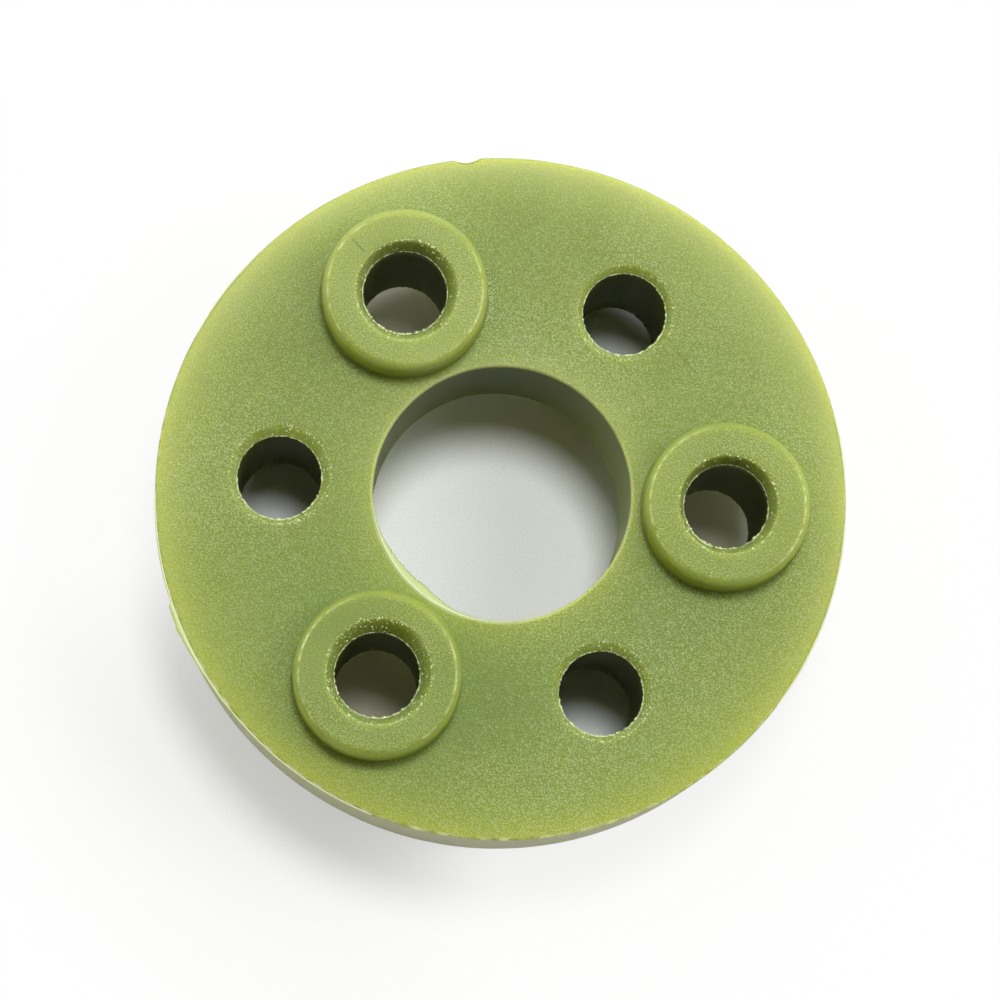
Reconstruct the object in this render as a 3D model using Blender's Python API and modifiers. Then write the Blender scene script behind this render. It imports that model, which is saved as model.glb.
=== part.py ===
"""Supercharger drive coupler: one cast polyurethane disc that joins two pinned hubs.

The disc has a plain bore and pin holes on one pitch circle. Every second hole stands in a boss on the
upper face, and the holes between them stand in bosses on the lower face, so each boss keeps the facing
hub off the disc. The origin is on the bore's axis at mid thickness, +Z points out of the upper face and
an upper boss lies on +X. Lengths are in metres, angles in degrees.
"""

import math

import bmesh
import bpy
from mathutils import Matrix

# The disc
OUTER_DIAMETER = 0.0520
BODY_THICKNESS = 0.0110
BORE_DIAMETER = 0.0194
RIM_EDGE_RADIUS = 0.00025
BORE_EDGE_RADIUS = 0.00025

# The pin holes and their bosses
PINS_PER_HUB = 3
PIN_CIRCLE_DIAMETER = 0.0335
PIN_DIAMETER = 0.00635
PIN_CLEARANCE = 0.00005
COUNTERSINK_DIAMETER = 0.0077
BOSS_COUNTERSINK_DEPTH = 0.0015
FLUSH_COUNTERSINK_DEPTH = 0.0005
BOSS_DIAMETER = 0.0125
BOSS_HEIGHT = 0.0027
BOSS_SHOULDER_RADIUS = 0.0007
BOSS_ROOT_RADIUS = 0.00015

# The films of flash left along the mould's parting line, just under the upper face
FLASH_THICKNESS = 0.00012
FLASH_DROP = 0.00010
FLASH_ROOT = 0.00040
BORE_FLASH_WIDTH = 0.00062
BORE_FLASH_FROM = 198.0
BORE_FLASH_TO = 256.0
RIM_FLASH_WIDTH = 0.00028
RIM_FLASH_FROM = 188.0
RIM_FLASH_TO = 228.0

# The nick in the upper edge of the rim
NICK_WIDTH = 0.0020
NICK_DEPTH = 0.00028
NICK_HEIGHT = 0.0032
NICK_ANGLE = 99.7

# How finely round shapes are faceted, and how far cutters and joined shapes run past a face
CHORD_ERROR = 0.000015
OVERRUN = 0.0010

MATERIAL_NAME = "cast_polyurethane"
OLIVE_GREEN = (0.262, 0.352, 0.098, 1.0)
SATIN_ROUGHNESS = 0.42

TOP_FACE = BODY_THICKNESS / 2
PIN_HOLE_RADIUS = (PIN_DIAMETER + PIN_CLEARANCE) / 2
BOSS_FACE = TOP_FACE + BOSS_HEIGHT


def facets(radius):
    """Straight sides, a multiple of four, that keep a circle of this radius within CHORD_ERROR of round."""
    return 4 * math.ceil(math.pi / math.acos(1 - CHORD_ERROR / radius) / 4)


def fillet(centre_x, centre_z, radius, start, end):
    """Points of a quarter-round in a profile, from one angle to the other."""
    steps = facets(radius) // 4
    points = []
    for step in range(steps + 1):
        angle = math.radians(start + (end - start) * step / steps)
        points.append((centre_x + radius * math.cos(angle), centre_z + radius * math.sin(angle)))
    return points


def new_collection(name):
    """A collection of that name in the scene."""
    collection = bpy.data.collections.new(name)
    bpy.context.scene.collection.children.link(collection)
    return collection


def keep_as_tool(obj):
    """A shape that is joined to the disc or cut from it shows as a wire frame and isn't rendered."""
    obj.hide_render = True
    obj.display_type = "WIRE"
    return obj


def turned(name, profile, radius, collection, closed):
    """A turned shape: the profile in the XZ plane, spun about Z. A closed profile makes a ring."""
    mesh = bpy.data.meshes.new(name)
    last = len(profile)
    edges = [(i, (i + 1) % last) for i in range(last if closed else last - 1)]
    mesh.from_pydata([(x, 0, z) for x, z in profile], edges, [])
    obj = bpy.data.objects.new(name, mesh)
    collection.objects.link(obj)
    spin = obj.modifiers.new("spin", "SCREW")
    spin.axis = "Z"
    spin.angle = math.tau
    spin.steps = facets(radius)
    spin.render_steps = spin.steps
    spin.use_merge_vertices = True
    spin.merge_threshold = 1e-7
    return obj


def disc_body(collection):
    """The plain ring: rim, two flat faces and bore, with all four edges rounded."""
    outer = OUTER_DIAMETER / 2
    bore = BORE_DIAMETER / 2
    rim_x = outer - RIM_EDGE_RADIUS
    rim_z = TOP_FACE - RIM_EDGE_RADIUS
    bore_x = bore + BORE_EDGE_RADIUS
    bore_z = TOP_FACE - BORE_EDGE_RADIUS
    profile = fillet(rim_x, rim_z, RIM_EDGE_RADIUS, 90, 0)
    profile += fillet(rim_x, -rim_z, RIM_EDGE_RADIUS, 0, -90)
    profile += fillet(bore_x, -bore_z, BORE_EDGE_RADIUS, -90, -180)
    profile += fillet(bore_x, bore_z, BORE_EDGE_RADIUS, -180, -270)
    return turned("coupler", profile, outer, collection, closed=True)


def boss(name, collection):
    """A round boss with a rounded shoulder and a small root fillet, standing up out of the upper face."""
    radius = BOSS_DIAMETER / 2
    shoulder_z = BOSS_FACE - BOSS_SHOULDER_RADIUS
    profile = [(0, BOSS_FACE)]
    profile += fillet(radius - BOSS_SHOULDER_RADIUS, shoulder_z, BOSS_SHOULDER_RADIUS, 90, 0)
    profile += fillet(radius + BOSS_ROOT_RADIUS, TOP_FACE + BOSS_ROOT_RADIUS, BOSS_ROOT_RADIUS, 180, 270)
    profile += [(radius + BOSS_ROOT_RADIUS, TOP_FACE - OVERRUN), (0, TOP_FACE - OVERRUN)]
    return keep_as_tool(turned(name, profile, radius, collection, closed=False))


def pin_drill(name, collection):
    """The cutter for a pin hole: a pin-sized core with a countersink at the boss's end and at the flush end."""
    flare = COUNTERSINK_DIAMETER / 2
    spread = flare - PIN_HOLE_RADIUS
    boss_mouth = flare + spread / BOSS_COUNTERSINK_DEPTH * OVERRUN
    flush_mouth = flare + spread / FLUSH_COUNTERSINK_DEPTH * OVERRUN
    profile = [
        (0, BOSS_FACE + OVERRUN),
        (boss_mouth, BOSS_FACE + OVERRUN),
        (PIN_HOLE_RADIUS, BOSS_FACE - BOSS_COUNTERSINK_DEPTH),
        (PIN_HOLE_RADIUS, FLUSH_COUNTERSINK_DEPTH - TOP_FACE),
        (flush_mouth, -TOP_FACE - OVERRUN),
        (0, -TOP_FACE - OVERRUN),
    ]
    return keep_as_tool(turned(name, profile, PIN_HOLE_RADIUS, collection, closed=False))


def place_on_pin_circle(obj, index):
    """Moves a boss or drill to its hole. Odd holes belong to the lower hub, so their shapes hang upside down."""
    angle = index * math.pi / PINS_PER_HUB
    at_hole = Matrix.Rotation(angle, 4, "Z") @ Matrix.Translation((PIN_CIRCLE_DIAMETER / 2, 0, 0))
    turn_over = Matrix.Rotation(math.pi, 4, "X") if index % 2 else Matrix.Identity(4)
    obj.matrix_world = at_hole @ turn_over


def nick(collection):
    """The cutter for the nick: a stretched sphere that scoops the rim where its equator meets the upper face."""
    reach = ((NICK_WIDTH / 2) ** 2 + NICK_DEPTH**2) / (2 * NICK_DEPTH)
    stretch = NICK_HEIGHT / (NICK_WIDTH / 2)
    shape = bmesh.new()
    bmesh.ops.create_uvsphere(shape, u_segments=facets(reach), v_segments=facets(reach) // 2, radius=reach)
    bmesh.ops.scale(shape, vec=(1, 1, stretch), verts=shape.verts)
    distance = OUTER_DIAMETER / 2 - NICK_DEPTH + reach
    turn = Matrix.Rotation(math.radians(NICK_ANGLE), 4, "Z")
    shape.transform(turn @ Matrix.Translation((distance, 0, TOP_FACE)))
    mesh = bpy.data.meshes.new("nick")
    shape.to_mesh(mesh)
    shape.free()
    obj = bpy.data.objects.new("nick", mesh)
    collection.objects.link(obj)
    return keep_as_tool(obj)


def flash_film(name, wall_radius, outward, width, start, end, collection):
    """A torn film of flash as a flat outline: its root is an arc inside the wall and its free edge is ragged."""
    count = facets(wall_radius) * (end - start) / 360
    steps = math.ceil(count) * 2
    free_edge = []
    root_edge = []
    for step in range(steps + 1):
        share = step / steps
        angle = math.radians(start + (end - start) * share)
        swell = math.sin(math.pi * share) ** 0.7
        tear = 1 + 0.12 * math.sin(41 * share) + 0.09 * math.sin(73 * share + 1)
        edge = wall_radius + outward * width * swell * tear / 1.21
        root = wall_radius - outward * FLASH_ROOT
        free_edge.append((edge * math.cos(angle), edge * math.sin(angle)))
        root_edge.append((root * math.cos(angle), root * math.sin(angle)))
    outline = free_edge + root_edge[::-1]

    curve = bpy.data.curves.new(name, "CURVE")
    curve.dimensions = "2D"
    curve.fill_mode = "BOTH"
    curve.extrude = FLASH_THICKNESS / 2
    spline = curve.splines.new("POLY")
    spline.points.add(len(outline) - 1)
    for point, (x, y) in zip(spline.points, outline):
        point.co = (x, y, 0, 1)
    spline.use_cyclic_u = True
    flat = bpy.data.objects.new(name, curve)
    flat.location = (0, 0, TOP_FACE - FLASH_DROP - FLASH_THICKNESS / 2)
    collection.objects.link(flat)
    return keep_as_tool(curve_to_mesh(flat, collection))


def curve_to_mesh(flat, collection):
    """Replaces a curve object by a closed mesh object of the same name and place, for use in a Boolean."""
    bpy.context.view_layer.update()
    graph = bpy.context.evaluated_depsgraph_get()
    mesh = bpy.data.meshes.new_from_object(flat.evaluated_get(graph))
    shape = bmesh.new()
    shape.from_mesh(mesh)
    bmesh.ops.remove_doubles(shape, verts=shape.verts, dist=1e-6)
    bmesh.ops.recalc_face_normals(shape, faces=shape.faces)
    shape.to_mesh(mesh)
    shape.free()
    name = flat.name
    place = flat.matrix_world.copy()
    bpy.data.objects.remove(flat)
    obj = bpy.data.objects.new(name, mesh)
    obj.matrix_world = place
    collection.objects.link(obj)
    return obj


def combine(obj, label, operation, collection):
    """Joins a collection of closed shapes to the object, or cuts them from it."""
    step = obj.modifiers.new(label, "BOOLEAN")
    step.operation = operation
    step.operand_type = "COLLECTION"
    step.collection = collection
    step.solver = "EXACT"


def cast_polyurethane():
    """Olive green polyurethane with a satin cast skin."""
    material = bpy.data.materials.new(MATERIAL_NAME)
    material.use_nodes = True
    shader = material.node_tree.nodes["Principled BSDF"]
    shader.inputs["Base Color"].default_value = OLIVE_GREEN
    shader.inputs["Roughness"].default_value = SATIN_ROUGHNESS
    shader.inputs["Metallic"].default_value = 0.0
    material.diffuse_color = OLIVE_GREEN
    return material


def shade(obj):
    """Smooth shading on the round faces, with the flat faces' edges kept sharp."""
    obj.data.shade_smooth()
    obj.data.set_sharp_from_angle(angle=math.radians(30))


def build():
    """Makes the coupler and the tools that shape it."""
    for obj in list(bpy.data.objects):
        bpy.data.objects.remove(obj)

    parts = new_collection("supercharger_coupler")
    bosses = new_collection("joined_bosses")
    drills = new_collection("pin_drills")
    films = new_collection("flash_films")
    nicks = new_collection("rim_nick")

    coupler = disc_body(parts)
    coupler.data.materials.append(cast_polyurethane())

    for index in range(2 * PINS_PER_HUB):
        place_on_pin_circle(boss(f"boss_{index}", bosses), index)
        place_on_pin_circle(pin_drill(f"drill_{index}", drills), index)

    bore_radius = BORE_DIAMETER / 2
    rim_radius = OUTER_DIAMETER / 2
    flash_film("bore_flash", bore_radius, -1, BORE_FLASH_WIDTH, BORE_FLASH_FROM, BORE_FLASH_TO, films)
    flash_film("rim_flash", rim_radius, 1, RIM_FLASH_WIDTH, RIM_FLASH_FROM, RIM_FLASH_TO, films)
    nick(nicks)

    combine(coupler, "raise bosses", "UNION", bosses)
    combine(coupler, "leave flash", "UNION", films)
    combine(coupler, "drill pin holes", "DIFFERENCE", drills)
    combine(coupler, "chip rim", "DIFFERENCE", nicks)
    shade(coupler)


build()
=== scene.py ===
"""Looks of the supercharger coupler: one disc of cast polyurethane lying on a white table."""

import math
import random

import bpy
import numpy as np
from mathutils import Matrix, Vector, geometry, noise


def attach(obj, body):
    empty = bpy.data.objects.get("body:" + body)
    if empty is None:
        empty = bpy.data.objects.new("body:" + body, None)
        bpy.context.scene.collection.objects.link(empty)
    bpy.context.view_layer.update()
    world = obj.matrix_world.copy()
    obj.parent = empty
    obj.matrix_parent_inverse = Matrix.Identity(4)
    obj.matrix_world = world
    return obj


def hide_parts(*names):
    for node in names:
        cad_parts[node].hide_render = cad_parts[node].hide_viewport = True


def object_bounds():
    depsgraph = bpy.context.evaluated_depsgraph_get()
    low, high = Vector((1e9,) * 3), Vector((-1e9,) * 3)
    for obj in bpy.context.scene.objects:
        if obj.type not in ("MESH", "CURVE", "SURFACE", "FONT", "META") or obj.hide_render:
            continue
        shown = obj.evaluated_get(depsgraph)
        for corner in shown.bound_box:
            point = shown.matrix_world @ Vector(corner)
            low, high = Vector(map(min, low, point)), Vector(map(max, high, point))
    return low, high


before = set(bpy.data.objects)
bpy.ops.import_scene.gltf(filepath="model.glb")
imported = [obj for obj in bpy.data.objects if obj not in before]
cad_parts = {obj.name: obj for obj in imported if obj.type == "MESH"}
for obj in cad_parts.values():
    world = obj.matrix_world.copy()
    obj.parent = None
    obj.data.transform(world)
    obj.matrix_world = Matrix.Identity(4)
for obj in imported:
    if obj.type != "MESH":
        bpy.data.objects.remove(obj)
cad_low, cad_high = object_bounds()


# The view. The photographer stood the lens almost over the disc, a little towards its lower left, so the
# bore and the pin holes show their far walls and the rim shows a thin crescent of its near wall.
CAMERA_PLACE = (-0.009526, -0.040541, 0.244351)
CAMERA_TURN = (9.3309, -2.8779, 3.7803)
FOCAL_LENGTH = 116.27
SENSOR_WIDTH = 36.0
NEAREST_SEEN = 0.01
FURTHEST_SEEN = 10.0

camera_data = bpy.data.cameras.new("camera")
camera_data.lens = FOCAL_LENGTH
camera_data.sensor_width = SENSOR_WIDTH
camera_data.clip_start = NEAREST_SEEN
camera_data.clip_end = FURTHEST_SEEN
camera = bpy.data.objects.new("camera", camera_data)
camera.location = CAMERA_PLACE
camera.rotation_euler = [math.radians(turn) for turn in CAMERA_TURN]
bpy.context.scene.collection.objects.link(camera)
bpy.context.scene.camera = camera


# The casting. It is one shot of polyurethane in a two-part mould: disc, bosses and holes come out together.
# Its skin is laid down here ring by ring, from the upper face down each wall to the lower face.
SHARP_EDGE = math.radians(38)
RIPPLE_GAIN = 1.6


class Skin:
    """The points and faces of the casting, and its marks at each point: torn edges and painted glints,
    painted shade in hollows, painted light and shade on steep flanks, and the countersinks' tint.
    """

    def __init__(self):
        self.points = []
        self.marks = {"torn": [], "hollow": [], "flank": [], "cut": []}
        self.faces = []

    def ring(self, centre, angles, radius, z, **marks):
        """Adds a ring of points round an upright axis and returns their numbers."""
        first = len(self.points)
        radius, z = (np.broadcast_to(value, angles.shape) for value in (radius, z))
        x = centre[0] + radius * np.cos(angles)
        y = centre[1] + radius * np.sin(angles)
        self.add(list(zip(x, y, z)), **marks)
        return list(range(first, len(self.points)))

    def add(self, points, **marks):
        """Adds points that share their marks, or have one of each mark each."""
        self.points += points
        for name, values in self.marks.items():
            values += list(np.broadcast_to(marks.get(name, 0.0), len(points)))

    def band(self, upper, lower):
        """Joins two rings of equal count by faces that look away from the axis if upper is over lower."""
        for here in range(len(upper)):
            after = (here + 1) % len(upper)
            self.faces.append((upper[here], lower[here], lower[after], upper[after]))

    def mesh(self, name):
        """The finished mesh, shaded smooth, with its real edges sharp."""
        mesh = bpy.data.meshes.new(name)
        mesh.from_pydata([tuple(map(float, point)) for point in self.points], [], self.faces)
        mesh.shade_smooth()
        mesh.set_sharp_from_angle(angle=SHARP_EDGE)
        for name, values in self.marks.items():
            mark = mesh.attributes.new(name, "FLOAT", "POINT")
            mark.data.foreach_set("value", np.array(values, np.float32))
        return mesh


def ripple(angles, waves, seed):
    """Smooth unevenness round a ring, from -1 to 1, with about that many waves in a full turn."""
    reach = waves / math.tau
    heights = [noise.noise((reach * math.cos(a), reach * math.sin(a), seed)) for a in angles]
    return np.array(heights) * RIPPLE_GAIN


def swing(level, change, wave, most=1.0):
    """A mark that is at a level and changes with a wave, but stays between 0 and its most."""
    return np.clip(level + change * wave, 0, most)


def quarter(steps):
    """Cosines and sines of a quarter-round, from 0 to 90 degrees."""
    return [(math.cos(i * math.pi / 2 / steps), math.sin(i * math.pi / 2 / steps)) for i in range(steps + 1)]


# The rim and the bore. Both are plain moulded walls with small rounded edges, worn pale along the top. The
# rim's wear is mostly on its near side, and its far side has one smooth nick, where the casting was pulled
# from the mould or knocked later. The bore's wall is painted in shade, and the painted shade thins towards
# its right side and further down, where light comes through the casting.
BODY_THICKNESS = 0.0110
BORE_RADIUS = 0.0097
EDGE_RADIUS = 0.00025
EDGE_STEPS = 5
LAND = 0.00006
WALL_RINGS = 9
RIM_SEGMENTS = 480
BORE_SEGMENTS = 300
WALL_UNEVENNESS = 0.000008
WALL_WAVES = 60
WALL_DRIFT = 300
NICK_ANGLE = math.radians(99.7)
NICK_WIDTH = 0.0021
NICK_DEPTH = 0.00029
NICK_HEIGHT = 0.0032
NICK_ROUNDNESS = 1.15
NICK_POINTS = 40
RIM_WEAR = (0.35, 0.9)
RIM_WEAR_WAVES = 220
NEAR_WEAR = (0.1, -1.1)
NEAR_WEAR_TURN = 0.35
BORE_WEAR = 0.3
BORE_WORN_SHARE = 0.9
BORE_LIGHT = 0.40
BORE_LIGHT_BELOW = 0.35
BORE_LIGHT_ROUNDNESS = 1.5

rim_radius = cad_high.x
top_face = BODY_THICKNESS / 2


def wall_profile():
    """The steps of a plain wall with rounded edges, top to bottom: each one's depth in the wall and its z."""
    edge = [(EDGE_RADIUS * (1 - s), top_face - EDGE_RADIUS * (1 - c)) for c, s in quarter(EDGE_STEPS)]
    profile = [(EDGE_RADIUS + LAND, top_face)] + edge
    low = top_face - EDGE_RADIUS
    inner = low - EDGE_RADIUS
    profile += [(0.0, inner - 2 * inner * i / WALL_RINGS) for i in range(WALL_RINGS + 1)]
    return profile + [(depth, -z) for depth, z in edge[::-1]] + [(EDGE_RADIUS + LAND, -top_face)]


def nick_depth(angles, z):
    """How far the nick cuts into the rim: deepest at the upper edge, and gone a few millimetres down."""
    along = (angles - NICK_ANGLE) * rim_radius / (NICK_WIDTH / 2)
    down = (top_face - z) / NICK_HEIGHT
    scoop = np.clip(1 - along**2, 0, 1) ** NICK_ROUNDNESS
    return NICK_DEPTH * scoop * max(0.0, 1 - down**2)


skin = Skin()
nick_reach = NICK_WIDTH / rim_radius
rim_angles = np.unique(np.concatenate([
    np.linspace(0, math.tau, RIM_SEGMENTS, endpoint=False),
    np.linspace(NICK_ANGLE - nick_reach, NICK_ANGLE + nick_reach, NICK_POINTS),
]))
bore_angles = np.linspace(0, math.tau, BORE_SEGMENTS, endpoint=False)
rim_wear = swing(*RIM_WEAR, ripple(rim_angles, RIM_WEAR_WAVES, 2.0))
rim_wear = rim_wear * swing(*NEAR_WEAR, np.sin(rim_angles + NEAR_WEAR_TURN))
right_side = np.clip(np.cos(bore_angles), 0, 1) ** BORE_LIGHT_ROUNDNESS
rim_rings = []
bore_rings = []
for depth, z in wall_profile():
    uneven = WALL_UNEVENNESS * (1 + ripple(rim_angles, WALL_WAVES, 1.0 + WALL_DRIFT * z))
    cut = nick_depth(rim_angles, z)
    # The nick's crease is marked for the painted light and shade of the bosses' flanks.
    nick_crease_shade = np.clip(2 * cut / NICK_DEPTH, 0, 1) if depth < EDGE_RADIUS else 0.0
    worn = rim_wear if 0 < depth < EDGE_RADIUS and z > 0 else 0.0
    radius = rim_radius - depth - uneven - cut
    rim_rings.append(skin.ring((0, 0), rim_angles, radius, z, flank=nick_crease_shade, torn=worn))

    uneven = WALL_UNEVENNESS * (1 + ripple(bore_angles, WALL_WAVES, 7.0 + WALL_DRIFT * z))
    # The bore's wall is marked for painted shade, thinner at its right side and further down.
    below = (top_face - z) / BODY_THICKNESS
    in_wall = abs(z) < top_face - 1.5 * EDGE_RADIUS
    hollow = 1 - (BORE_LIGHT + BORE_LIGHT_BELOW * below) * right_side if in_wall else 0.0
    worn = BORE_WEAR if 0 < depth < BORE_WORN_SHARE * EDGE_RADIUS else 0.0
    radius = BORE_RADIUS + depth + uneven
    bore_rings.append(skin.ring((0, 0), bore_angles, radius, z, hollow=hollow, torn=worn))
for upper, lower in zip(rim_rings, rim_rings[1:]):
    skin.band(upper, lower)
for upper, lower in zip(bore_rings, bore_rings[1:]):
    skin.band(lower, upper)
upper_loops = [rim_rings[0], bore_rings[0]]
lower_loops = [rim_rings[-1], bore_rings[-1]]


# The pin holes. Each stands in a boss on one face and is flush on the other, turn and turn about. Their
# countersinks were cut with a hand tool, which chattered and left torn, whitened burrs at the hole's edge.
# The holes' walls are painted in shade, and the bosses' shoulders carry a painted glint, a pale line at their
# left and right.
PIN_HOLES = 6
PIN_CIRCLE_RADIUS = 0.01675
HOLE_RADIUS = 0.0032
HOLE_SEGMENTS = 216
MOUTH_RADIUS = 0.00385
MOUTH_SIZES = (0.00376, 0.00373, 0.00387, 0.00380, 0.00395, 0.00373)
MOUTH_DRIFTS = (
    (0.00004, -0.00008), (0.00004, 0.00006), (0.00014, -0.00012),
    (0.00002, 0.00015), (0.00010, 0.00010), (0.00003, 0.00011),
)
BOSS_COUNTERSINK = 0.0015
FLUSH_COUNTERSINK = 0.0005
MOUTH_ROLL = 1.35
CONE_RINGS = 8
HOLE_RINGS = 9
HOLE_LAND = 0.0005
CHATTER = 0.000008
CHATTER_WAVES = (60, 130)
MOUTH_TEAR = 0.000040
MOUTH_WAVES = 14
CONE_TORN = 0.15
TORN_WAVES = 70
FAR_SIDE_CUT_TINT = (0.35, 1.1)
CUT_GAIN = 2.5
LIP_TORN = 0.3
BURR_HEIGHT = 0.00005
BURR_DROOP = 0.7
BURR_TORN = 0.5
BURR_CUT = 0.5
BURR_SHADE = 0.6
BEADS = (0.25, 1.1)
BEAD_WAVES = 90
TALLEST_BEAD = 1.2
BOSS_RADIUS = 0.00625
SHOULDER_RADIUS = 0.0007
SHOULDER_STEPS = 8
FLANK_FADE = 1.5
SHOULDER_GLINT = (0.55, 0.8)
GLINT_WAVES = 70
GLINT_SIDES = (-0.5, 1.5)
GLINT_TURN = 0.2
GLINT_PALENESS = 0.9
GLINT_STEP = 6
ROOT_RADIUS = 0.00015
ROOT_STEPS = 3

boss_face = cad_high.z
hole_angles = np.linspace(0, math.tau, HOLE_SEGMENTS, endpoint=False)


def mouth_rings(face_z, depth, size, drift, seed):
    """The rings of one countersink, from its land on the face to the hole's wall: radius, z and marks."""
    torn = CONE_TORN * np.abs(ripple(hole_angles, TORN_WAVES, seed))
    mouth = size + drift[0] * np.cos(hole_angles) + drift[1] * np.sin(hole_angles)
    mouth = mouth + MOUTH_TEAR * ripple(hole_angles, MOUTH_WAVES, seed + 3)
    # The countersink's tint is strongest on its far side.
    far_tint = swing(*FAR_SIDE_CUT_TINT, np.sin(hole_angles))
    beads = swing(*BEADS, ripple(hole_angles, BEAD_WAVES, seed + 5), TALLEST_BEAD)
    slow, quick = CHATTER_WAVES
    rings = [(MOUTH_RADIUS + 6 * LAND, face_z, {}), (mouth + LAND, face_z, {})]
    for step in range(1, CONE_RINGS + 1):
        share = step / (CONE_RINGS + 1)
        chatter = ripple(hole_angles, slow, seed + 10 * step) + ripple(hole_angles, quick, seed - step)
        chatter = CHATTER * chatter
        radius = mouth + (HOLE_RADIUS - mouth) * share + chatter
        z = face_z - depth * share**MOUTH_ROLL - chatter
        rings.append((radius, z, {"torn": torn, "cut": min(1.0, CUT_GAIN * share) * far_tint}))
    edge_z = face_z - depth
    burr = BURR_HEIGHT * beads
    rings.append((HOLE_RADIUS + LAND / 2, edge_z + LAND / 2, {"torn": LIP_TORN * beads, "cut": far_tint}))
    rings.append((HOLE_RADIUS - burr, edge_z + burr, {"torn": BURR_TORN * beads, "cut": BURR_CUT}))
    # Just under the burr, the hole's wall is marked for painted shade.
    rings.append((HOLE_RADIUS - BURR_DROOP * burr, edge_z - LAND / 2, {"hollow": BURR_SHADE}))
    rings.append((HOLE_RADIUS, edge_z - 2 * LAND, {"hollow": 1.0}))
    return rings


def boss_rings(seed):
    """The rings of a boss from its root on the disc, over its rounded shoulder, to its level top."""
    # A painted glint runs round the shoulder, palest at its left and right.
    glint = GLINT_PALENESS * swing(*SHOULDER_GLINT, ripple(hole_angles, GLINT_WAVES, seed))
    glint = glint * swing(*GLINT_SIDES, np.abs(np.cos(hole_angles + GLINT_TURN)))
    rings = [(BOSS_RADIUS + ROOT_RADIUS + LAND, top_face, {})]
    # The root and the shoulder are marked for the flanks' painted light and shade.
    for c, s in quarter(ROOT_STEPS):
        rings.append((BOSS_RADIUS + ROOT_RADIUS * (1 - s), top_face + ROOT_RADIUS * (1 - c), {"flank": s}))
    shoulder_z = boss_face - SHOULDER_RADIUS
    rings.append((BOSS_RADIUS, (top_face + shoulder_z) / 2, {"flank": 1.0}))
    for step, (c, s) in enumerate(quarter(SHOULDER_STEPS)):
        radius = BOSS_RADIUS - SHOULDER_RADIUS * (1 - c)
        marks = {"flank": (1 - s) ** FLANK_FADE, "torn": glint if step == GLINT_STEP else 0.0}
        rings.append((radius, shoulder_z + SHOULDER_RADIUS * s, marks))
    flat = BOSS_RADIUS - SHOULDER_RADIUS
    return rings + [(flat - LAND, boss_face, {}), ((flat + MOUTH_RADIUS) / 2, boss_face, {})]


def hole_rings(size, drift, seed):
    """A pin hole from the root of its boss, through the disc, to the land of its flush end."""
    top = boss_face - BOSS_COUNTERSINK - HOLE_LAND
    bottom = FLUSH_COUNTERSINK + HOLE_LAND - top_face
    # The hole's wall is marked for painted shade.
    wall = [(HOLE_RADIUS, z, {"hollow": 1.0}) for z in np.linspace(top, bottom, HOLE_RINGS)]
    upper = mouth_rings(boss_face, BOSS_COUNTERSINK, size, drift, seed)
    flush = mouth_rings(top_face, FLUSH_COUNTERSINK, size, drift, seed + 50)
    flush = [(radius, -z, marks) for radius, z, marks in flush]
    return boss_rings(seed) + upper + wall + flush[::-1]


hole_centres = []
for index in range(PIN_HOLES):
    turn = index * math.tau / PIN_HOLES
    centre = (PIN_CIRCLE_RADIUS * math.cos(turn), PIN_CIRCLE_RADIUS * math.sin(turn))
    hole_centres.append(centre)
    profile = hole_rings(MOUTH_SIZES[index], MOUTH_DRIFTS[index], 20.0 + 7 * index)
    if index % 2:
        profile = [(radius, -z, marks) for radius, z, marks in profile[::-1]]
    rings = [skin.ring(centre, hole_angles, radius, z, **marks) for radius, z, marks in profile]
    for upper, lower in zip(rings, rings[1:]):
        skin.band(lower, upper)
    upper_loops.append(rings[0])
    lower_loops.append(rings[-1])


# The two flat faces. They fill the space between the rim, the bore and the six holes with small triangles,
# which take up the faint unevenness that polyurethane gets as it cures.
FACE_GRID = 0.0006
GRID_CLEARANCE = 0.00032
FACE_UNEVENNESS = 0.0025
UNEVENNESS_SIZE = 0.006
MILLIMETRES = 1000
MERGE_DISTANCE = 1e-6
JUST_INSIDE = 0.99985


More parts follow.
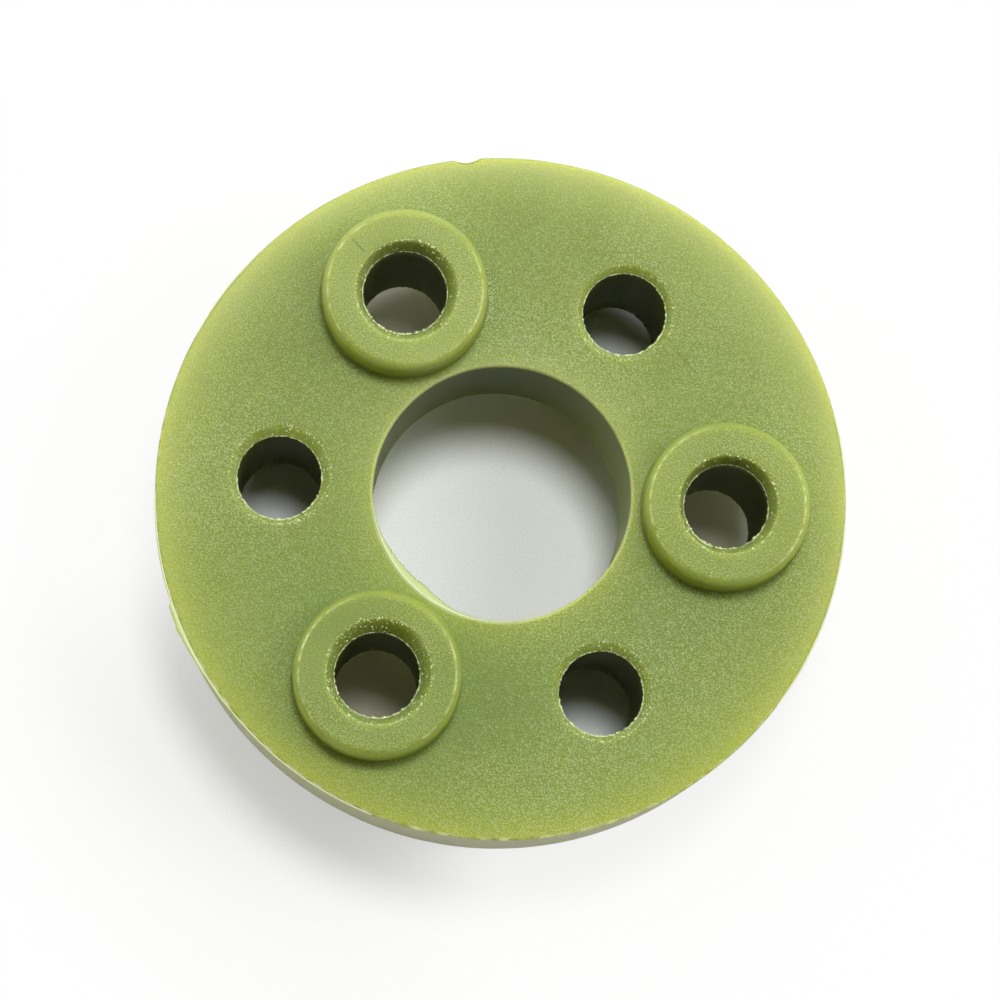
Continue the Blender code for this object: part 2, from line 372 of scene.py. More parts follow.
def flat_face(loops, z, facing_up):
    """Fills between the first loop, which is the rim, and the others, which are holes in the face."""
    outlines = [np.array([skin.points[number][:2] for number in loop]) for loop in loops]
    centres = [outline.mean(0) for outline in outlines]
    centres[0] = centres[1] = np.zeros(2)
    radii = [np.hypot(*(outline - centre).T).mean() for outline, centre in zip(outlines, centres)]

    rows = np.arange(-rim_radius, rim_radius, FACE_GRID * math.sqrt(3) / 2)
    grid = np.array([
        (x + FACE_GRID / 2 * (row % 2), y)
        for row, y in enumerate(rows)
        for x in np.arange(-rim_radius, rim_radius, FACE_GRID)
    ])
    clear = np.hypot(*grid.T) < radii[0] - GRID_CLEARANCE - NICK_DEPTH
    for centre, radius in zip(centres[1:], radii[1:]):
        clear &= np.hypot(*(grid - centre).T) > radius + GRID_CLEARANCE
    inner = grid[clear]

    numbers = [number for loop in loops for number in loop]
    first = len(skin.points)
    skin.add([(x, y, z) for x, y in inner])
    numbers += range(first, len(skin.points))
    flat = np.array([skin.points[number][:2] for number in numbers]) * MILLIMETRES
    edges = []
    done = 0
    for loop in loops:
        count = len(loop)
        edges += [(done + i, done + (i + 1) % count) for i in range(count)]
        done += count
    found = geometry.delaunay_2d_cdt([Vector(p) for p in flat], edges, [], 0, MERGE_DISTANCE)
    triangles, origins = found[2:4]
    for triangle in triangles:
        corners = [origins[corner][0] for corner in triangle]
        middle = flat[corners].mean(0) / MILLIMETRES
        angle = math.atan2(middle[1], middle[0]) % math.tau
        edge = np.interp(angle, rim_angles, np.hypot(*outlines[0].T), period=math.tau)
        if math.hypot(*middle) > edge:
            continue
        if any(math.dist(middle, c) < r * JUST_INSIDE for c, r in zip(centres[1:], radii[1:])):
            continue
        a, b, c = flat[corners]
        turns_left = (b[0] - a[0]) * (c[1] - a[1]) > (b[1] - a[1]) * (c[0] - a[0])
        if turns_left != facing_up:
            corners.reverse()
        skin.faces.append(tuple(numbers[corner] for corner in corners))


flat_face(upper_loops, top_face, True)
flat_face(lower_loops, -top_face, False)

for number, (x, y, z) in enumerate(skin.points):
    swell = noise.noise((x / UNEVENNESS_SIZE, y / UNEVENNESS_SIZE, 4.0 if z > 0 else 9.0))
    skin.points[number] = (x, y, z * (1 - FACE_UNEVENNESS * (0.5 + 0.5 * swell)))

casting = bpy.data.objects.new("coupler_body", skin.mesh("coupler_body"))
bpy.context.scene.collection.objects.link(casting)


# The polyurethane. It is olive green all through and slightly cloudy, so thin edges let light in and look
# lighter and yellower. The mould left a fine even grain on it, and torn edges turn pale.
class Value:
    """A socket in a node tree. Arithmetic on it adds Math nodes, and node() adds any other kind."""

    def __init__(self, tree, socket=None):
        self.tree = tree
        self.socket = socket

    def node(self, kind, settings=None, sockets=None, output=0):
        """Adds a node, makes its settings, then fills its sockets with values or links."""
        made = self.tree.nodes.new(kind)
        for name, setting in (settings or {}).items():
            setattr(made, name, setting)
        for name, value in (sockets or {}).items():
            if isinstance(value, Value):
                self.tree.links.new(value.socket, made.inputs[name])
            else:
                made.inputs[name].default_value = value
        return Value(self.tree, made.outputs[output] if made.outputs else None)

    def math(self, operation, *values):
        return self.node("ShaderNodeMath", {"operation": operation}, dict(enumerate(values)))

    def __add__(self, other):
        return self.math("ADD", self, other)

    def __radd__(self, other):
        return self.math("ADD", other, self)

    def __sub__(self, other):
        return self.math("SUBTRACT", self, other)

    def __rsub__(self, other):
        return self.math("SUBTRACT", other, self)

    def __mul__(self, other):
        return self.math("MULTIPLY", self, other)

    def __rmul__(self, other):
        return self.math("MULTIPLY", other, self)

    def __truediv__(self, other):
        return self.math("DIVIDE", self, other)

    def colour(self, low, high):
        """The colour that runs from low to high as this value goes from 0 to 1."""
        sockets = {0: self, 6: low, 7: high}
        return self.node("ShaderNodeMix", {"data_type": "RGBA", "clamp_factor": True}, sockets, 2)

    def line(self, level, slope):
        """A level where this value is 0, which rises by the slope for each 1 of it."""
        return self * slope + level

    def ramp(self, start, end, low=0.0, high=1.0, shape="LINEAR"):
        """Runs from low to high as this value goes from start to end."""
        sockets = {0: self, 1: start, 2: end, 3: low, 4: high}
        return self.node("ShaderNodeMapRange", {"interpolation_type": shape}, sockets)

    def distance(self, point):
        """How far this place is from a point."""
        return self.node("ShaderNodeVectorMath", {"operation": "DISTANCE"}, {0: self, 1: point}, 1)

    def nearest(self, centres):
        """How far this place is from the nearest of some upright axes."""
        nearest = None
        for centre in centres:
            reach = self.distance((*centre, 0))
            nearest = reach if nearest is None else self.math("MINIMUM", nearest, reach)
        return nearest

    def along(self, direction):
        """How far this place lies in a direction."""
        return self.node("ShaderNodeVectorMath", {"operation": "DOT_PRODUCT"}, {0: self, 1: direction}, 1)

    def axis(self, number):
        """This place's x, y or z, by its number."""
        return self.node("ShaderNodeSeparateXYZ", {}, {0: self}, number)

    def mark(self, name):
        """A mark that the mesh holds at each point."""
        return self.node("ShaderNodeAttribute", {"attribute_name": name}, output=2)

    def fades(self, length):
        """1 where this distance is nothing, fading out over that length."""
        return self.math("EXPONENT", self.math("MAXIMUM", self, 0.0) * (-1 / length))

    def speckle(self, size, detail=0.0):
        """Cloudy noise from 0 to 1 over this place, with features of that size in metres."""
        sockets = {"Vector": self, "Scale": 1 / size, "Detail": detail}
        return self.node("ShaderNodeTexNoise", {}, sockets)


OLIVE = (0.190, 0.266, 0.030, 1.0)
OLIVE_LIGHT = (0.350, 0.430, 0.135, 1.0)
SHADE_AND_CLOUD_GREEN = (0.148, 0.240, 0.028, 1.0)
GLINT_PALE = (0.52, 0.62, 0.34, 1.0)
CUT_OLIVE = (0.265, 0.350, 0.040, 1.0)
SHADE_AND_SCRATCH_OLIVE = (0.104, 0.126, 0.018, 1.0)
FLANK_LIT_OLIVE = (0.285, 0.355, 0.034, 1.0)
FLANK_SHADED_OLIVE = (0.175, 0.240, 0.034, 1.0)
WALL_REFLECTION_GREY = (0.360, 0.395, 0.215, 1.0)
EDGE_GREEN = (0.58, 0.66, 0.21, 1.0)
EDGE_OLIVE = (0.48, 0.54, 0.04, 1.0)
TORN_AND_GLINT_PALE = (0.72, 0.80, 0.48, 1.0)


def start_material(name):
    """A new empty material and the value from which its nodes are made."""
    material = bpy.data.materials.new(name)
    material.use_nodes = True
    material.node_tree.nodes.clear()
    return material, Value(material.node_tree)


# Where on the casting a point lies. A side goes from -1 at the near end to 1 at the far end.
polyurethane, start = start_material("cast_polyurethane")
place = start.node("ShaderNodeTexCoord", output=3)
flat_place = start.node("ShaderNodeVectorMath", {"operation": "MULTIPLY"}, {0: place, 1: (1, 1, 0)})
from_axis = start.node("ShaderNodeVectorMath", {"operation": "LENGTH"}, {0: flat_place}, 1)
back = place.axis(1)
side = back / from_axis
up = place.axis(2)
height = start.math("ABSOLUTE", up)
on_boss = height.ramp(top_face, boss_face)
inside_rim = rim_radius - from_axis

# Each face shows the same pattern of bosses, turned by half a turn, so the lower face is turned back.
turned = {0: flat_place, "Scale": start.math("SIGN", up)}
same_face = start.node("ShaderNodeVectorMath", {"operation": "SCALE"}, turned)
# Painted shade lies on the face beside each boss.
SHADE_REACH = 0.0013
beside_boss = same_face.nearest(hole_centres[::2]) - BOSS_RADIUS
boss_shade = beside_boss.fades(SHADE_REACH) * (1 - on_boss)

# The grain is left by the mould's blasted face. It is weaker on the shoulders and on one polished spot,
# and stronger in patches and towards the near side, where the face is also paler. A pair of values is a
# level and a slope.
GRAIN = 0.00013
FINE_GRAIN = 0.00006
GRAIN_SHARE = 0.65
GRAIN_CONTRAST = 5.6
CLOUDS = 0.0040
CLOUD_CONTRAST = 0.6
PATCHES = 0.0090
PATCHINESS = (-0.55, 2.6)
PATCHES_FADE_BACK = 7.0
LEAST_ROUGH = 0.75
SHOULDER_TOP = 0.00003
SHOULDER_LOW = 0.00009
SHOULDER_RISE = 40.0
SHOULDER_SMOOTH = 0.8
POLISHED = (-0.0115, -0.0130, 0.0)
POLISHED_REACH = 0.0058
POLISHED_CORE = 0.0030
POLISH = 0.8
PALENESS = 0.30
PALE_FADE_BACK = 3.0

grain = place.speckle(GRAIN, 1.0)
fine_grain = place.speckle(FINE_GRAIN)
clouds = place.speckle(CLOUDS)
patches = place.speckle(PATCHES)
shoulder = (boss_face - height).ramp(SHOULDER_TOP, SHOULDER_LOW) * (on_boss * SHOULDER_RISE)
shoulder = start.math("MINIMUM", shoulder, 1.0)
polish = flat_place.distance(POLISHED).ramp(POLISHED_REACH, POLISHED_CORE) * on_boss
roughened = start.math("MAXIMUM", patches.line(*PATCHINESS) - back * PATCHES_FADE_BACK, LEAST_ROUGH)
roughened = roughened * (1 - shoulder * SHOULDER_SMOOTH) * (1 - polish * POLISH)
pitted = (grain * GRAIN_SHARE + fine_grain * (1 - GRAIN_SHARE) - 0.5) * roughened * GRAIN_CONTRAST
pitted = pitted + (clouds - 0.5) * CLOUD_CONTRAST + PALENESS - back * PALE_FADE_BACK
base = pitted.colour(OLIVE, OLIVE_LIGHT)

# Painted shade: the middle of each face, most on its near side, the face beside each boss and the far side
# of the rim's rounded edge are shaded deeper green, less on the bosses and towards the far side. Cloudy
# tone is mixed into the same green.
MID_RADIUS = 0.0150
MID_REACH = 0.0055
MID_SHADE = (0.16, -0.28)
CLOUD_DEEP = 0.7
SHADE_DEEP = (0.26, 0.1)
SHADE_FADE_BACK = 7.0
RIM_SKIN = 0.00015
RIM_SKIN_SHADE = (0.9, 1.4)
BOSS_LIGHTER = 0.7

middle = start.math("ABSOLUTE", from_axis - MID_RADIUS) / MID_REACH
middle = start.math("MAXIMUM", 1 - middle * middle, 0.0)
at_rim = inside_rim.fades(RIM_SKIN)
shade_and_clouds = middle * side.line(*MID_SHADE) + (clouds - 0.5) * CLOUD_DEEP + boss_shade * side.line(*SHADE_DEEP)
shade_and_clouds = shade_and_clouds - back * SHADE_FADE_BACK + at_rim * side.line(*RIM_SKIN_SHADE)
base = (shade_and_clouds * (1 - on_boss * BOSS_LIGHTER)).colour(base, SHADE_AND_CLOUD_GREEN)

# Painted glow: light enters at the rim and the bore, so the face beside them is painted lighter and yellower,
# the rim's glow strongest and greenest on the far side. The boss tops are painted lighter, more so towards
# the far side.
RIM_GLOW = 0.94
RIM_GLOW_REACH = 0.0020
RIM_GLOW_SIDES = (0.82, 0.18)
RIM_SKIN_DULL = 1.25
BORE_GLOW = 0.33
BORE_GLOW_REACH = 0.0016
BOSS_GLOW = (0.07, 6.5)
EDGE_TINT = (0.6, 0.7)

rim_glow = inside_rim.fades(RIM_GLOW_REACH) * (1 - at_rim * RIM_SKIN_DULL) * side.line(*RIM_GLOW_SIDES)
bore_glow = (from_axis - BORE_RADIUS).fades(BORE_GLOW_REACH)
glow = rim_glow * RIM_GLOW + bore_glow * BORE_GLOW + on_boss * back.line(*BOSS_GLOW)
base = glow.colour(base, side.line(*EDGE_TINT).colour(EDGE_OLIVE, EDGE_GREEN))

# Painted glints: pale flecks lie along the grain, in short strokes, standing in for glints off its tiny
# facets.
STROKES = 0.00022
STROKE_SHARPNESS = 9.0
GLINT_FLECKS = (-1.8, 4.4)
GLINT_STRENGTH = 0.42

stroke = 1 - start.math("ABSOLUTE", place.speckle(STROKES) - 0.5) * STROKE_SHARPNESS
glint_flecks = start.math("MAXIMUM", grain.line(*GLINT_FLECKS), 0.0)
sparkle = start.math("MAXIMUM", stroke, 0.0) * glint_flecks * roughened
base = (sparkle * GLINT_STRENGTH).colour(base, GLINT_PALE)

# The rim's wall is painted greyer, a painted reflection of the white table. The bore and the holes are
# painted dark inside, as painted shade. The countersinks are tinted a clearer olive, most on their far side.
WALL_FROM = 0.00012
WALL_TO = 0.00004
WALL_TOP_FROM = 0.0001
WALL_TOP_TO = 0.0003
CUT_IN_GRAIN = (1.3, -1.2)

on_wall = inside_rim.ramp(WALL_FROM, WALL_TO)
under_edge = height.ramp(top_face - WALL_TOP_FROM, top_face - WALL_TOP_TO)
base = (on_wall * under_edge).colour(base, WALL_REFLECTION_GREY)
base = start.mark("hollow").colour(base, SHADE_AND_SCRATCH_OLIVE)
base = (start.mark("cut") * grain.line(*CUT_IN_GRAIN)).colour(base, CUT_OLIVE)

# Two short scratches, one on the far left boss and one beside the far right hole.
SCRATCHES = (((-0.01262, 0.01802), (-0.01161, 0.01704)), ((0.01253, 0.01178), (0.01413, 0.01022)))
SCRATCH_WIDTH = 0.00004
SCRATCH_STRENGTH = 0.7

for here, there in SCRATCHES:
    run = Vector((*there, 0)) - Vector((*here, 0))
    ahead = run.normalized()
    centre = (Vector((*here, 0)) + Vector((*there, 0))) / 2
    offset = start.node("ShaderNodeVectorMath", {"operation": "SUBTRACT"}, {0: flat_place, 1: centre})
    aside = start.math("ABSOLUTE", offset.along((-ahead.y, ahead.x, 0)))
    within = start.math("LESS_THAN", start.math("ABSOLUTE", offset.along(ahead)), run.length / 2)
    base = (aside.fades(SCRATCH_WIDTH) * within * SCRATCH_STRENGTH).colour(base, SHADE_AND_SCRATCH_OLIVE)

# Painted light and shade: the bosses' steep flanks and the nick's crease are painted lighter and yellower
# where they face the near side, and darker where they face the far side. Torn edges and the painted glints
# on the bosses' shoulders are pale.
FLANK_STRENGTH = 0.85
FLANK_TURN = (0.45, 0.9)
TORN_IN_GRAIN = (0.35, 1.0)

facing_back = start.node("ShaderNodeTexCoord", output=1).axis(1)
flank_colour = facing_back.line(*FLANK_TURN).colour(FLANK_LIT_OLIVE, FLANK_SHADED_OLIVE)
base = (start.mark("flank") * FLANK_STRENGTH).colour(base, flank_colour)
base = (start.mark("torn") * grain.line(*TORN_IN_GRAIN)).colour(base, TORN_AND_GLINT_PALE)

# The skin is satin, with a shinier shoulder round each boss.
GRAIN_HEIGHT = 0.00005
SATIN = (0.44, 0.16)
SHOULDER_SHINE = 0.4

relief = start.node("ShaderNodeBump", {}, {"Strength": 1.0, "Distance": GRAIN_HEIGHT, "Height": grain})
shader = start.node("ShaderNodeBsdfPrincipled", {}, {
    "Base Color": base,
    "Roughness": grain.line(*SATIN) * (1 - shoulder * SHOULDER_SHINE),
    "IOR": 1.5,
    "Specular IOR Level": 0.32,
    "Subsurface Weight": 1.0,
    "Subsurface Radius": (1.8, 1.3, 0.25),
    "Subsurface Scale": 0.001,
    "Normal": relief,
})
start.node("ShaderNodeOutputMaterial", {}, {"Surface": shader})
casting.data.materials.append(polyurethane)
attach(casting, "root")
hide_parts("coupler")


# The flash. Polyurethane crept between the mould's halves as a thin film, and most of it was torn off. A wide
# strip is left along the bore's upper edge, a narrow one along the rim's, and three short fringes elsewhere
# on the rim. Each is palest beside the wall.
FLASH_THICKNESS = 0.00012
FLASH_LIP = 0.00007
BORE_FLASH_DROP = 0.00010
RIM_FLASH_DROP = 0.00008
FLASH_ROOT = 0.00015
FLASH_STEP = 0.00005
SCALLOP_WAVES = 200
RAGGED_WAVES = 620
SCALLOP_SHARE = 0.12
RAGGED_SHARE = 0.08
BORE_FLASH = (
    (190, 0.00003), (198, 0.00008), (205, 0.00016), (216, 0.00040), (226, 0.00050),
    (234, 0.00060), (241, 0.00048), (250, 0.00020), (260, 0.00008), (284, 0.00002),
)
BORE_LIP = 0.9
RIM_FLASH = (
    (184, 0.00001), (188, 0.00003), (192.5, 0.00007), (200, 0.00010), (202.6, 0.00006), (203.0, 0.00026),
    (207, 0.00036), (211, 0.00024), (216, 0.00012), (224, 0.00006), (236, 0.00004), (252, 0.00002),
)
RIM_LIP = 0.45
RIM_FRINGES = (
    ((-34, 0.00001), (-28, 0.00004), (-12, 0.00003), (-5, 0.00005), (-1, 0.00002)),
    ((6, 0.00001), (10, 0.00004), (14, 0.00005), (18, 0.00001)),
    ((140, 0.00001), (144, 0.00004), (150, 0.00003), (156, 0.00001)),
)
FRINGE_LIP = 0.2
FLASH_STRIPE = 0.00013
FLASH_RELIEF = 0.00004
FLASH_SATIN = (0.35, 0.2)
FLASH_EDGE = math.radians(60)
STRIPE_PALE = (0.66, 0.74, 0.40, 1.0)
FILM_PALE = (0.50, 0.60, 0.24, 1.0)
LIP_DARK = (0.16, 0.19, 0.035, 1.0)

flash_pale, start = start_material("flash_pale")
mottle = start.node("ShaderNodeTexCoord", output=3).speckle(GRAIN, 2.0)
base = (start.mark("reach") / FLASH_STRIPE + (mottle - 0.5)).colour(STRIPE_PALE, FILM_PALE)
base = start.mark("lip").colour(base, LIP_DARK)
relief = start.node("ShaderNodeBump", {}, {"Strength": 0.5, "Distance": FLASH_RELIEF, "Height": mottle})
shader = start.node("ShaderNodeBsdfPrincipled", {}, {
    "Base Color": base,
    "Roughness": mottle.line(*FLASH_SATIN),
    "IOR": 1.5,
    "Subsurface Weight": 0.4,
    "Subsurface Radius": (1.5, 1.4, 0.6),
    "Subsurface Scale": 0.0002,
    "Normal": relief,
})
start.node("ShaderNodeOutputMaterial", {}, {"Surface": shader})


def flash_film(name, wall_radius, outward, outline, drop, lip_darkness, seed):
    """A torn film that stands out of a wall, as wide at each angle in degrees as its outline says."""
    degrees, widths = zip(*outline)
    steps = int(wall_radius * math.radians(degrees[-1] - degrees[0]) / FLASH_STEP)
    stations = np.linspace(degrees[0], degrees[-1], steps)
    angles = np.radians(stations)
    scallops = SCALLOP_SHARE * ripple(angles, SCALLOP_WAVES, seed)
    tears = RAGGED_SHARE * ripple(angles, RAGGED_WAVES, seed)
    width = np.interp(stations, degrees, widths) * (1 + (scallops + tears))
    inner = np.maximum(width - FLASH_LIP, 0.0)
    top = top_face - drop
    middle = top - FLASH_THICKNESS / 2
    bottom = top - FLASH_THICKNESS
    section = [
        (0 * width, top, 0.0),
        (inner / 2, top, 0.0),
        (inner, top, 0.2),
        ((inner + width) / 2, (top + middle) / 2, 0.8),
        (width, middle, 1.0),
        (inner, (bottom + middle) / 2, 1.0),
        (inner / 2, bottom, 0.0),
        (0 * width, bottom, 0.0),
    ]
    root = np.full(steps, wall_radius - outward * FLASH_ROOT)
    rows = [(root, bottom, 0 * width, 0.0), (root, top, 0 * width, 0.0)]
    rows += [(wall_radius + outward * reach, z, reach, lip) for reach, z, lip in section]
    points = []
    reaches = []
    lips = []
    for radius, z, reach, lip in rows:
        points += [(r * math.cos(a), r * math.sin(a), z) for r, a in zip(radius, angles)]
        reaches += list(reach)
        lips += [lip * lip_darkness] * steps
    count = len(rows)
    faces = []
    for row in range(count):
        below = (row + 1) % count
        for i in range(steps - 1):
            face = (row * steps + i, row * steps + i + 1, below * steps + i + 1, below * steps + i)
            faces.append(face if outward < 0 else face[::-1])
    first_end = tuple(row * steps for row in range(count))
    last_end = tuple(row * steps + steps - 1 for row in range(count))
    faces += [first_end, last_end[::-1]] if outward < 0 else [first_end[::-1], last_end]
    mesh = bpy.data.meshes.new(name)
    mesh.from_pydata(points, [], faces)
    mesh.shade_smooth()
    mesh.set_sharp_from_angle(angle=FLASH_EDGE)
    for mark, values in (("reach", reaches), ("lip", lips)):
        mesh.attributes.new(mark, "FLOAT", "POINT").data.foreach_set("value", np.array(values, np.float32))
    film = bpy.data.objects.new(name, mesh)
    bpy.context.scene.collection.objects.link(film)
    mesh.materials.append(flash_pale)
    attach(film, "root")


flash_film("bore_flash", BORE_RADIUS, -1, BORE_FLASH, BORE_FLASH_DROP, BORE_LIP, 3.0)
flash_film("rim_flash", rim_radius, 1, RIM_FLASH, RIM_FLASH_DROP, RIM_LIP, 5.0)
for number, outline in enumerate(RIM_FRINGES):
    flash_film(f"rim_fringe_{number}", rim_radius, 1, outline, RIM_FLASH_DROP, FRINGE_LIP, 8.0 + number)


# The burrs. The cutter that made each countersink tore the polyurethane into a beaded fringe round the hole's
# edge, and threw pale crumbs that stuck in the countersink. Some fell at the root of the far left boss, where
# they lie like frost. Their sizes, lengths and places are drawn at random, from the same seed each time.
BEAD_PITCH = 0.00009
BEAD_GAPS = (0.6, 1.6)
BEAD_SIZE = 0.000056
BEAD_SIZES = (0.3, 0.5, 0.8, 1.0, 1.5)
BEAD_LENGTHS = (1.0, 2.6)
BEAD_RISE = 0.00003
BEAD_INWARD = (-0.00002, 0.00003)
NEAR_BEADS = (1.1, -0.4)
CRUMBS = (280, 160, 380, 320, 460, 280)
CRUMB_SIZE = 0.000034
CRUMB_SIZES = (0.5, 0.7, 0.9, 1.2, 1.9)
CRUMB_LENGTHS = (1.0, 2.2)
CRUMB_PLACES = (-0.1, 0.95)
MOUTH_CRUMBS = 0.35
MOUTH_SPREAD = 0.08
TIP_REACHES = (0.6, 1.4)
FACE_CLEARANCE = 0.00001
FROST = 150
FROST_SIZES = (0.6, 0.9, 1.3)
FROST_LENGTH = 1.3
FROST_ARC = 13
FROST_SPREAD = 0.0002
BURR_PALE = (0.88, 0.94, 0.68, 1.0)
BURR_TINT = (-0.6, 2.0)
BURR_SATIN = (0.3, 0.2)

burr_pale, start = start_material("burr_pale")
mottle = start.node("ShaderNodeTexCoord", output=3).speckle(GRAIN, 2.0)
shader = start.node("ShaderNodeBsdfPrincipled", {}, {
    "Base Color": mottle.line(*BURR_TINT).colour(EDGE_GREEN, BURR_PALE),
    "Roughness": mottle.line(*BURR_SATIN),
    "IOR": 1.5,
})
start.node("ShaderNodeOutputMaterial", {}, {"Surface": shader})

chance = random.Random(11)
points = []
faces = []


def level(angle):
    """The level direction at that angle."""
    return np.array((math.cos(angle), math.sin(angle), 0.0))


def add_crumb(centre, along, size, stretch):
    """Adds one torn crumb: an uneven eight-sided grain, stretched along a level direction."""
    across = np.array((-along[1], along[0], 0.0))
    limit = boss_face - FACE_CLEARANCE
    first = len(points)
    for direction, reach in ((along, stretch), (across, 1.0), (np.array((0.0, 0.0, 1.0)), 1.0)):
        for side in (1, -1):
            tip = centre + side * direction * size * reach * chance.uniform(*TIP_REACHES)
            tip[2] = min(max(tip[2], -limit), limit)
            points.append(tip)
    right, left, far, near, over, under = range(first, first + 6)
    for a, b in ((right, far), (far, left), (left, near), (near, right)):
        faces.append((a, b, over))
        faces.append((b, a, under))


def add_beads(centre, edge_z, side):
    """Adds the beaded fringe at the edge of one hole, with its largest beads on the near side."""
    angle = 0.0
    while angle < math.tau:
        outward = level(angle)
        along = np.array((-outward[1], outward[0], 0.0))
        radius = HOLE_RADIUS - chance.uniform(*BEAD_INWARD)
        spot = np.array((*centre, edge_z + side * BEAD_RISE)) + outward * radius
        near = NEAR_BEADS[0] + NEAR_BEADS[1] * math.sin(angle)
        size = BEAD_SIZE * near * chance.choice(BEAD_SIZES)
        add_crumb(spot, along, size, chance.uniform(*BEAD_LENGTHS))
        angle += BEAD_PITCH / HOLE_RADIUS * chance.uniform(*BEAD_GAPS)


def add_crumbs(index, centre, face_z, depth, side):
    """Adds the crumbs in one countersink: many lie at its mouth, and the rest between there and the hole."""
    for crumb in range(CRUMBS[index]):
        angle = chance.uniform(0, math.tau)
        drift_x, drift_y = MOUTH_DRIFTS[index]
        mouth = MOUTH_SIZES[index] + drift_x * math.cos(angle) + drift_y * math.sin(angle)
        share = chance.uniform(*CRUMB_PLACES)
        if chance.random() < MOUTH_CRUMBS:
            share = chance.gauss(0, MOUTH_SPREAD)
        radius = mouth + (HOLE_RADIUS - mouth) * share
        z = face_z - side * depth * max(share, 0.0) ** MOUTH_ROLL
        along = level(chance.uniform(0, math.tau))
        size = CRUMB_SIZE * chance.choice(CRUMB_SIZES)
        spot = np.array((*centre, z)) + level(angle) * radius
        add_crumb(spot, along, size, chance.uniform(*CRUMB_LENGTHS))


for index, centre in enumerate(hole_centres):
    if index % 2:
        ends = ((top_face, FLUSH_COUNTERSINK, 1), (-boss_face, BOSS_COUNTERSINK, -1))
    else:
        ends = ((boss_face, BOSS_COUNTERSINK, 1), (-top_face, FLUSH_COUNTERSINK, -1))
    for face_z, depth, side in ends:
        add_beads(centre, face_z - side * depth, side)
        add_crumbs(index, centre, face_z, depth, side)

for crumb in range(FROST):
    outward = level(math.radians(chance.gauss(0, FROST_ARC)))
    radius = BOSS_RADIUS + ROOT_RADIUS + abs(chance.gauss(0, FROST_SPREAD))
    spot = np.array((*hole_centres[2], top_face)) + outward * radius
    add_crumb(spot, outward, CRUMB_SIZE * chance.choice(FROST_SIZES), FROST_LENGTH)

mesh = bpy.data.meshes.new("hole_burrs")
mesh.from_pydata([tuple(map(float, point)) for point in points], [], faces)
mesh.shade_smooth()
mesh.materials.append(burr_pale)
burrs = bpy.data.objects.new("hole_burrs", mesh)
bpy.context.scene.collection.objects.link(burrs)
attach(burrs, "root")


# The table. It is white paper with a fine grain. It keeps the soft shadow beside the disc and inside the bore
# and the holes, and reads as pure white further off. It is tinted duskier under the holes of the three upper
# bosses, where little light gets in.
TABLE_SIZE = 6.0
TABLE_WHITE = (0.905, 0.93, 0.925, 1.0)
TABLE_DUSK = (0.60, 0.565, 0.46, 1.0)
DUSK_CORE = 0.0035
DUSK_REACH = 0.0055
TABLE_FIBRE = (0.82, 0.85, 0.84, 1.0)
TABLE_GRAIN = 0.00014
FIBRES = (-1.0, 3.0)
SHADOW_FROM = 0.0265
WHITE_FROM = 0.052
SHADOW_LIFT = 0.455
SIDE_LIFT = 0.84
SHADOW_BEARING = math.radians(232)
SHADOW_SPREAD = 0.72
UNDER_DISC = 0.019
DISC_EDGE = 0.98 * rim_radius

table_mesh = bpy.data.meshes.new("table")
half = TABLE_SIZE / 2
corners = [(-half, -half, 0), (half, -half, 0), (half, half, 0), (-half, half, 0)]
table_mesh.from_pydata(corners, [], [(0, 1, 2, 3)])
table = bpy.data.objects.new("table", table_mesh)
table.location = (0, 0, cad_low.z)
bpy.context.scene.collection.objects.link(table)

paper, start = start_material("table_white")
place = start.node("ShaderNodeTexCoord", output=3)
fibre = place.speckle(TABLE_GRAIN, 1.0).line(*FIBRES)
dusk = place.nearest(hole_centres[::2]).ramp(DUSK_REACH, DUSK_CORE, shape="SMOOTHSTEP")
paper_colour = dusk.colour(fibre.colour(TABLE_WHITE, TABLE_FIBRE), TABLE_DUSK)
matt = start.node("ShaderNodeBsdfDiffuse", {}, {"Color": paper_colour})

# Seen directly and in reflections, the table's shadow beside the disc is painted lighter, least towards the
# near left, and it turns white further off.
away = start.node("ShaderNodeVectorMath", {"operation": "LENGTH"}, {0: place}, 1)
towards = (math.cos(SHADOW_BEARING), math.sin(SHADOW_BEARING), 0)
in_shadow = place.along(towards) / away
lift = in_shadow.ramp(SHADOW_SPREAD, 1.0, SIDE_LIFT, SHADOW_LIFT, "SMOOTHSTEP")
fade = away.ramp(SHADOW_FROM, WHITE_FROM, lift, 1.0, "SMOOTHSTEP")
outside = away.ramp(UNDER_DISC, DISC_EDGE, shape="SMOOTHSTEP")
seen = start.node("ShaderNodeLightPath") + start.node("ShaderNodeLightPath", output=3)
white = start.node("ShaderNodeEmission", {}, {"Strength": 1.0})
mixed = start.node("ShaderNodeMixShader", {}, {0: fade * outside * seen, 1: matt, 2: white})
start.node("ShaderNodeOutputMaterial", {}, {"Surface": mixed})
table_mesh.materials.append(paper)


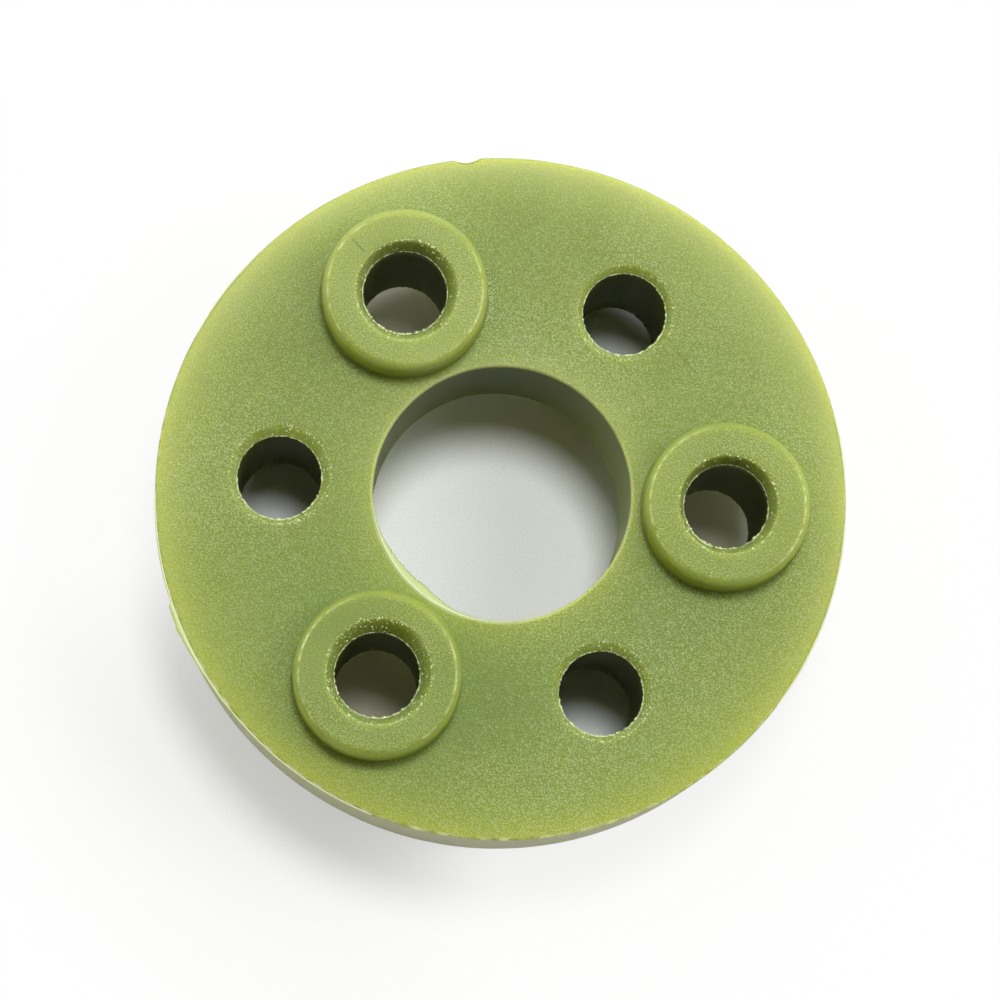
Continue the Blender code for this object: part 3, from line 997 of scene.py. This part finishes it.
# The light. The main soft box hangs almost overhead, a little behind the disc, with a weaker one to its right
# and a faint one to its left. The walls glow white behind the disc, and low down all round. The ceiling and
# the photographer's side are dark, so the bore's far wall and the holes lie in deep shade.
LAMP_DISTANCE = 0.60
WALL_GLOW = 1.5
ROOM_GLOW = 0.09
WALL_TOP = 0.44
CEILING_FROM = 0.58
DARK_SIDE = -0.45
LIT_SIDE = 0.15
LOW_GLOW = 0.80
LOW_TOP = 0.10
LOW_END = 0.30
LOW_NEAR_SHARE = 0.62
LOW_SIDES = 0.6
ROOM_WARMTH = (1.30, 1.0, 0.60, 1.0)
WHITE = (1.0, 1.0, 1.0, 1.0)


def soft_box(name, tilt, bearing, size, power):
    """A round soft box that faces the disc, tilted from overhead towards a bearing, both in degrees."""
    tilt = math.radians(tilt)
    bearing = math.radians(bearing)
    data = bpy.data.lights.new(name, "AREA")
    data.shape = "DISK"
    data.size = size
    data.energy = power
    lamp = bpy.data.objects.new(name, data)
    level = math.sin(tilt)
    towards = Vector((level * math.cos(bearing), level * math.sin(bearing), math.cos(tilt)))
    lamp.location = towards * LAMP_DISTANCE
    lamp.rotation_mode = "QUATERNION"
    lamp.rotation_quaternion = towards.to_track_quat("Z", "Y")
    bpy.context.scene.collection.objects.link(lamp)


soft_box("key", tilt=16, bearing=80, size=0.17, power=2.34)
soft_box("side", tilt=42, bearing=12, size=0.24, power=0.80)
soft_box("fill", tilt=50, bearing=172, size=0.16, power=0.16)

world = bpy.data.worlds.new("studio")
world.use_nodes = True
world.node_tree.nodes.clear()
bpy.context.scene.world = world
start = Value(world.node_tree)
direction = start.node("ShaderNodeTexCoord")
height = direction.axis(2)
depth = direction.axis(1)
under_ceiling = height.ramp(CEILING_FROM, WALL_TOP, shape="SMOOTHSTEP")
lit_side = depth.ramp(DARK_SIDE, LIT_SIDE, shape="SMOOTHSTEP")
near_table = height.ramp(LOW_END, LOW_TOP, shape="SMOOTHSTEP")
far_side = depth.ramp(-LOW_SIDES, LOW_SIDES, LOW_NEAR_SHARE, 1.0, "SMOOTHSTEP")
walls = under_ceiling * lit_side * WALL_GLOW + near_table * far_side * LOW_GLOW
room = {"Color": walls.colour(ROOM_WARMTH, WHITE), "Strength": walls + ROOM_GLOW}
lit = start.node("ShaderNodeBackground", {}, room)
seen = start.node("ShaderNodeLightPath")
backdrop = start.node("ShaderNodeBackground", {}, {"Strength": 1.0})
mixed = start.node("ShaderNodeMixShader", {}, {0: seen, 1: lit, 2: backdrop})
start.node("ShaderNodeOutputWorld", {}, {"Surface": mixed})

bpy.context.scene.view_settings.view_transform = "Standard"
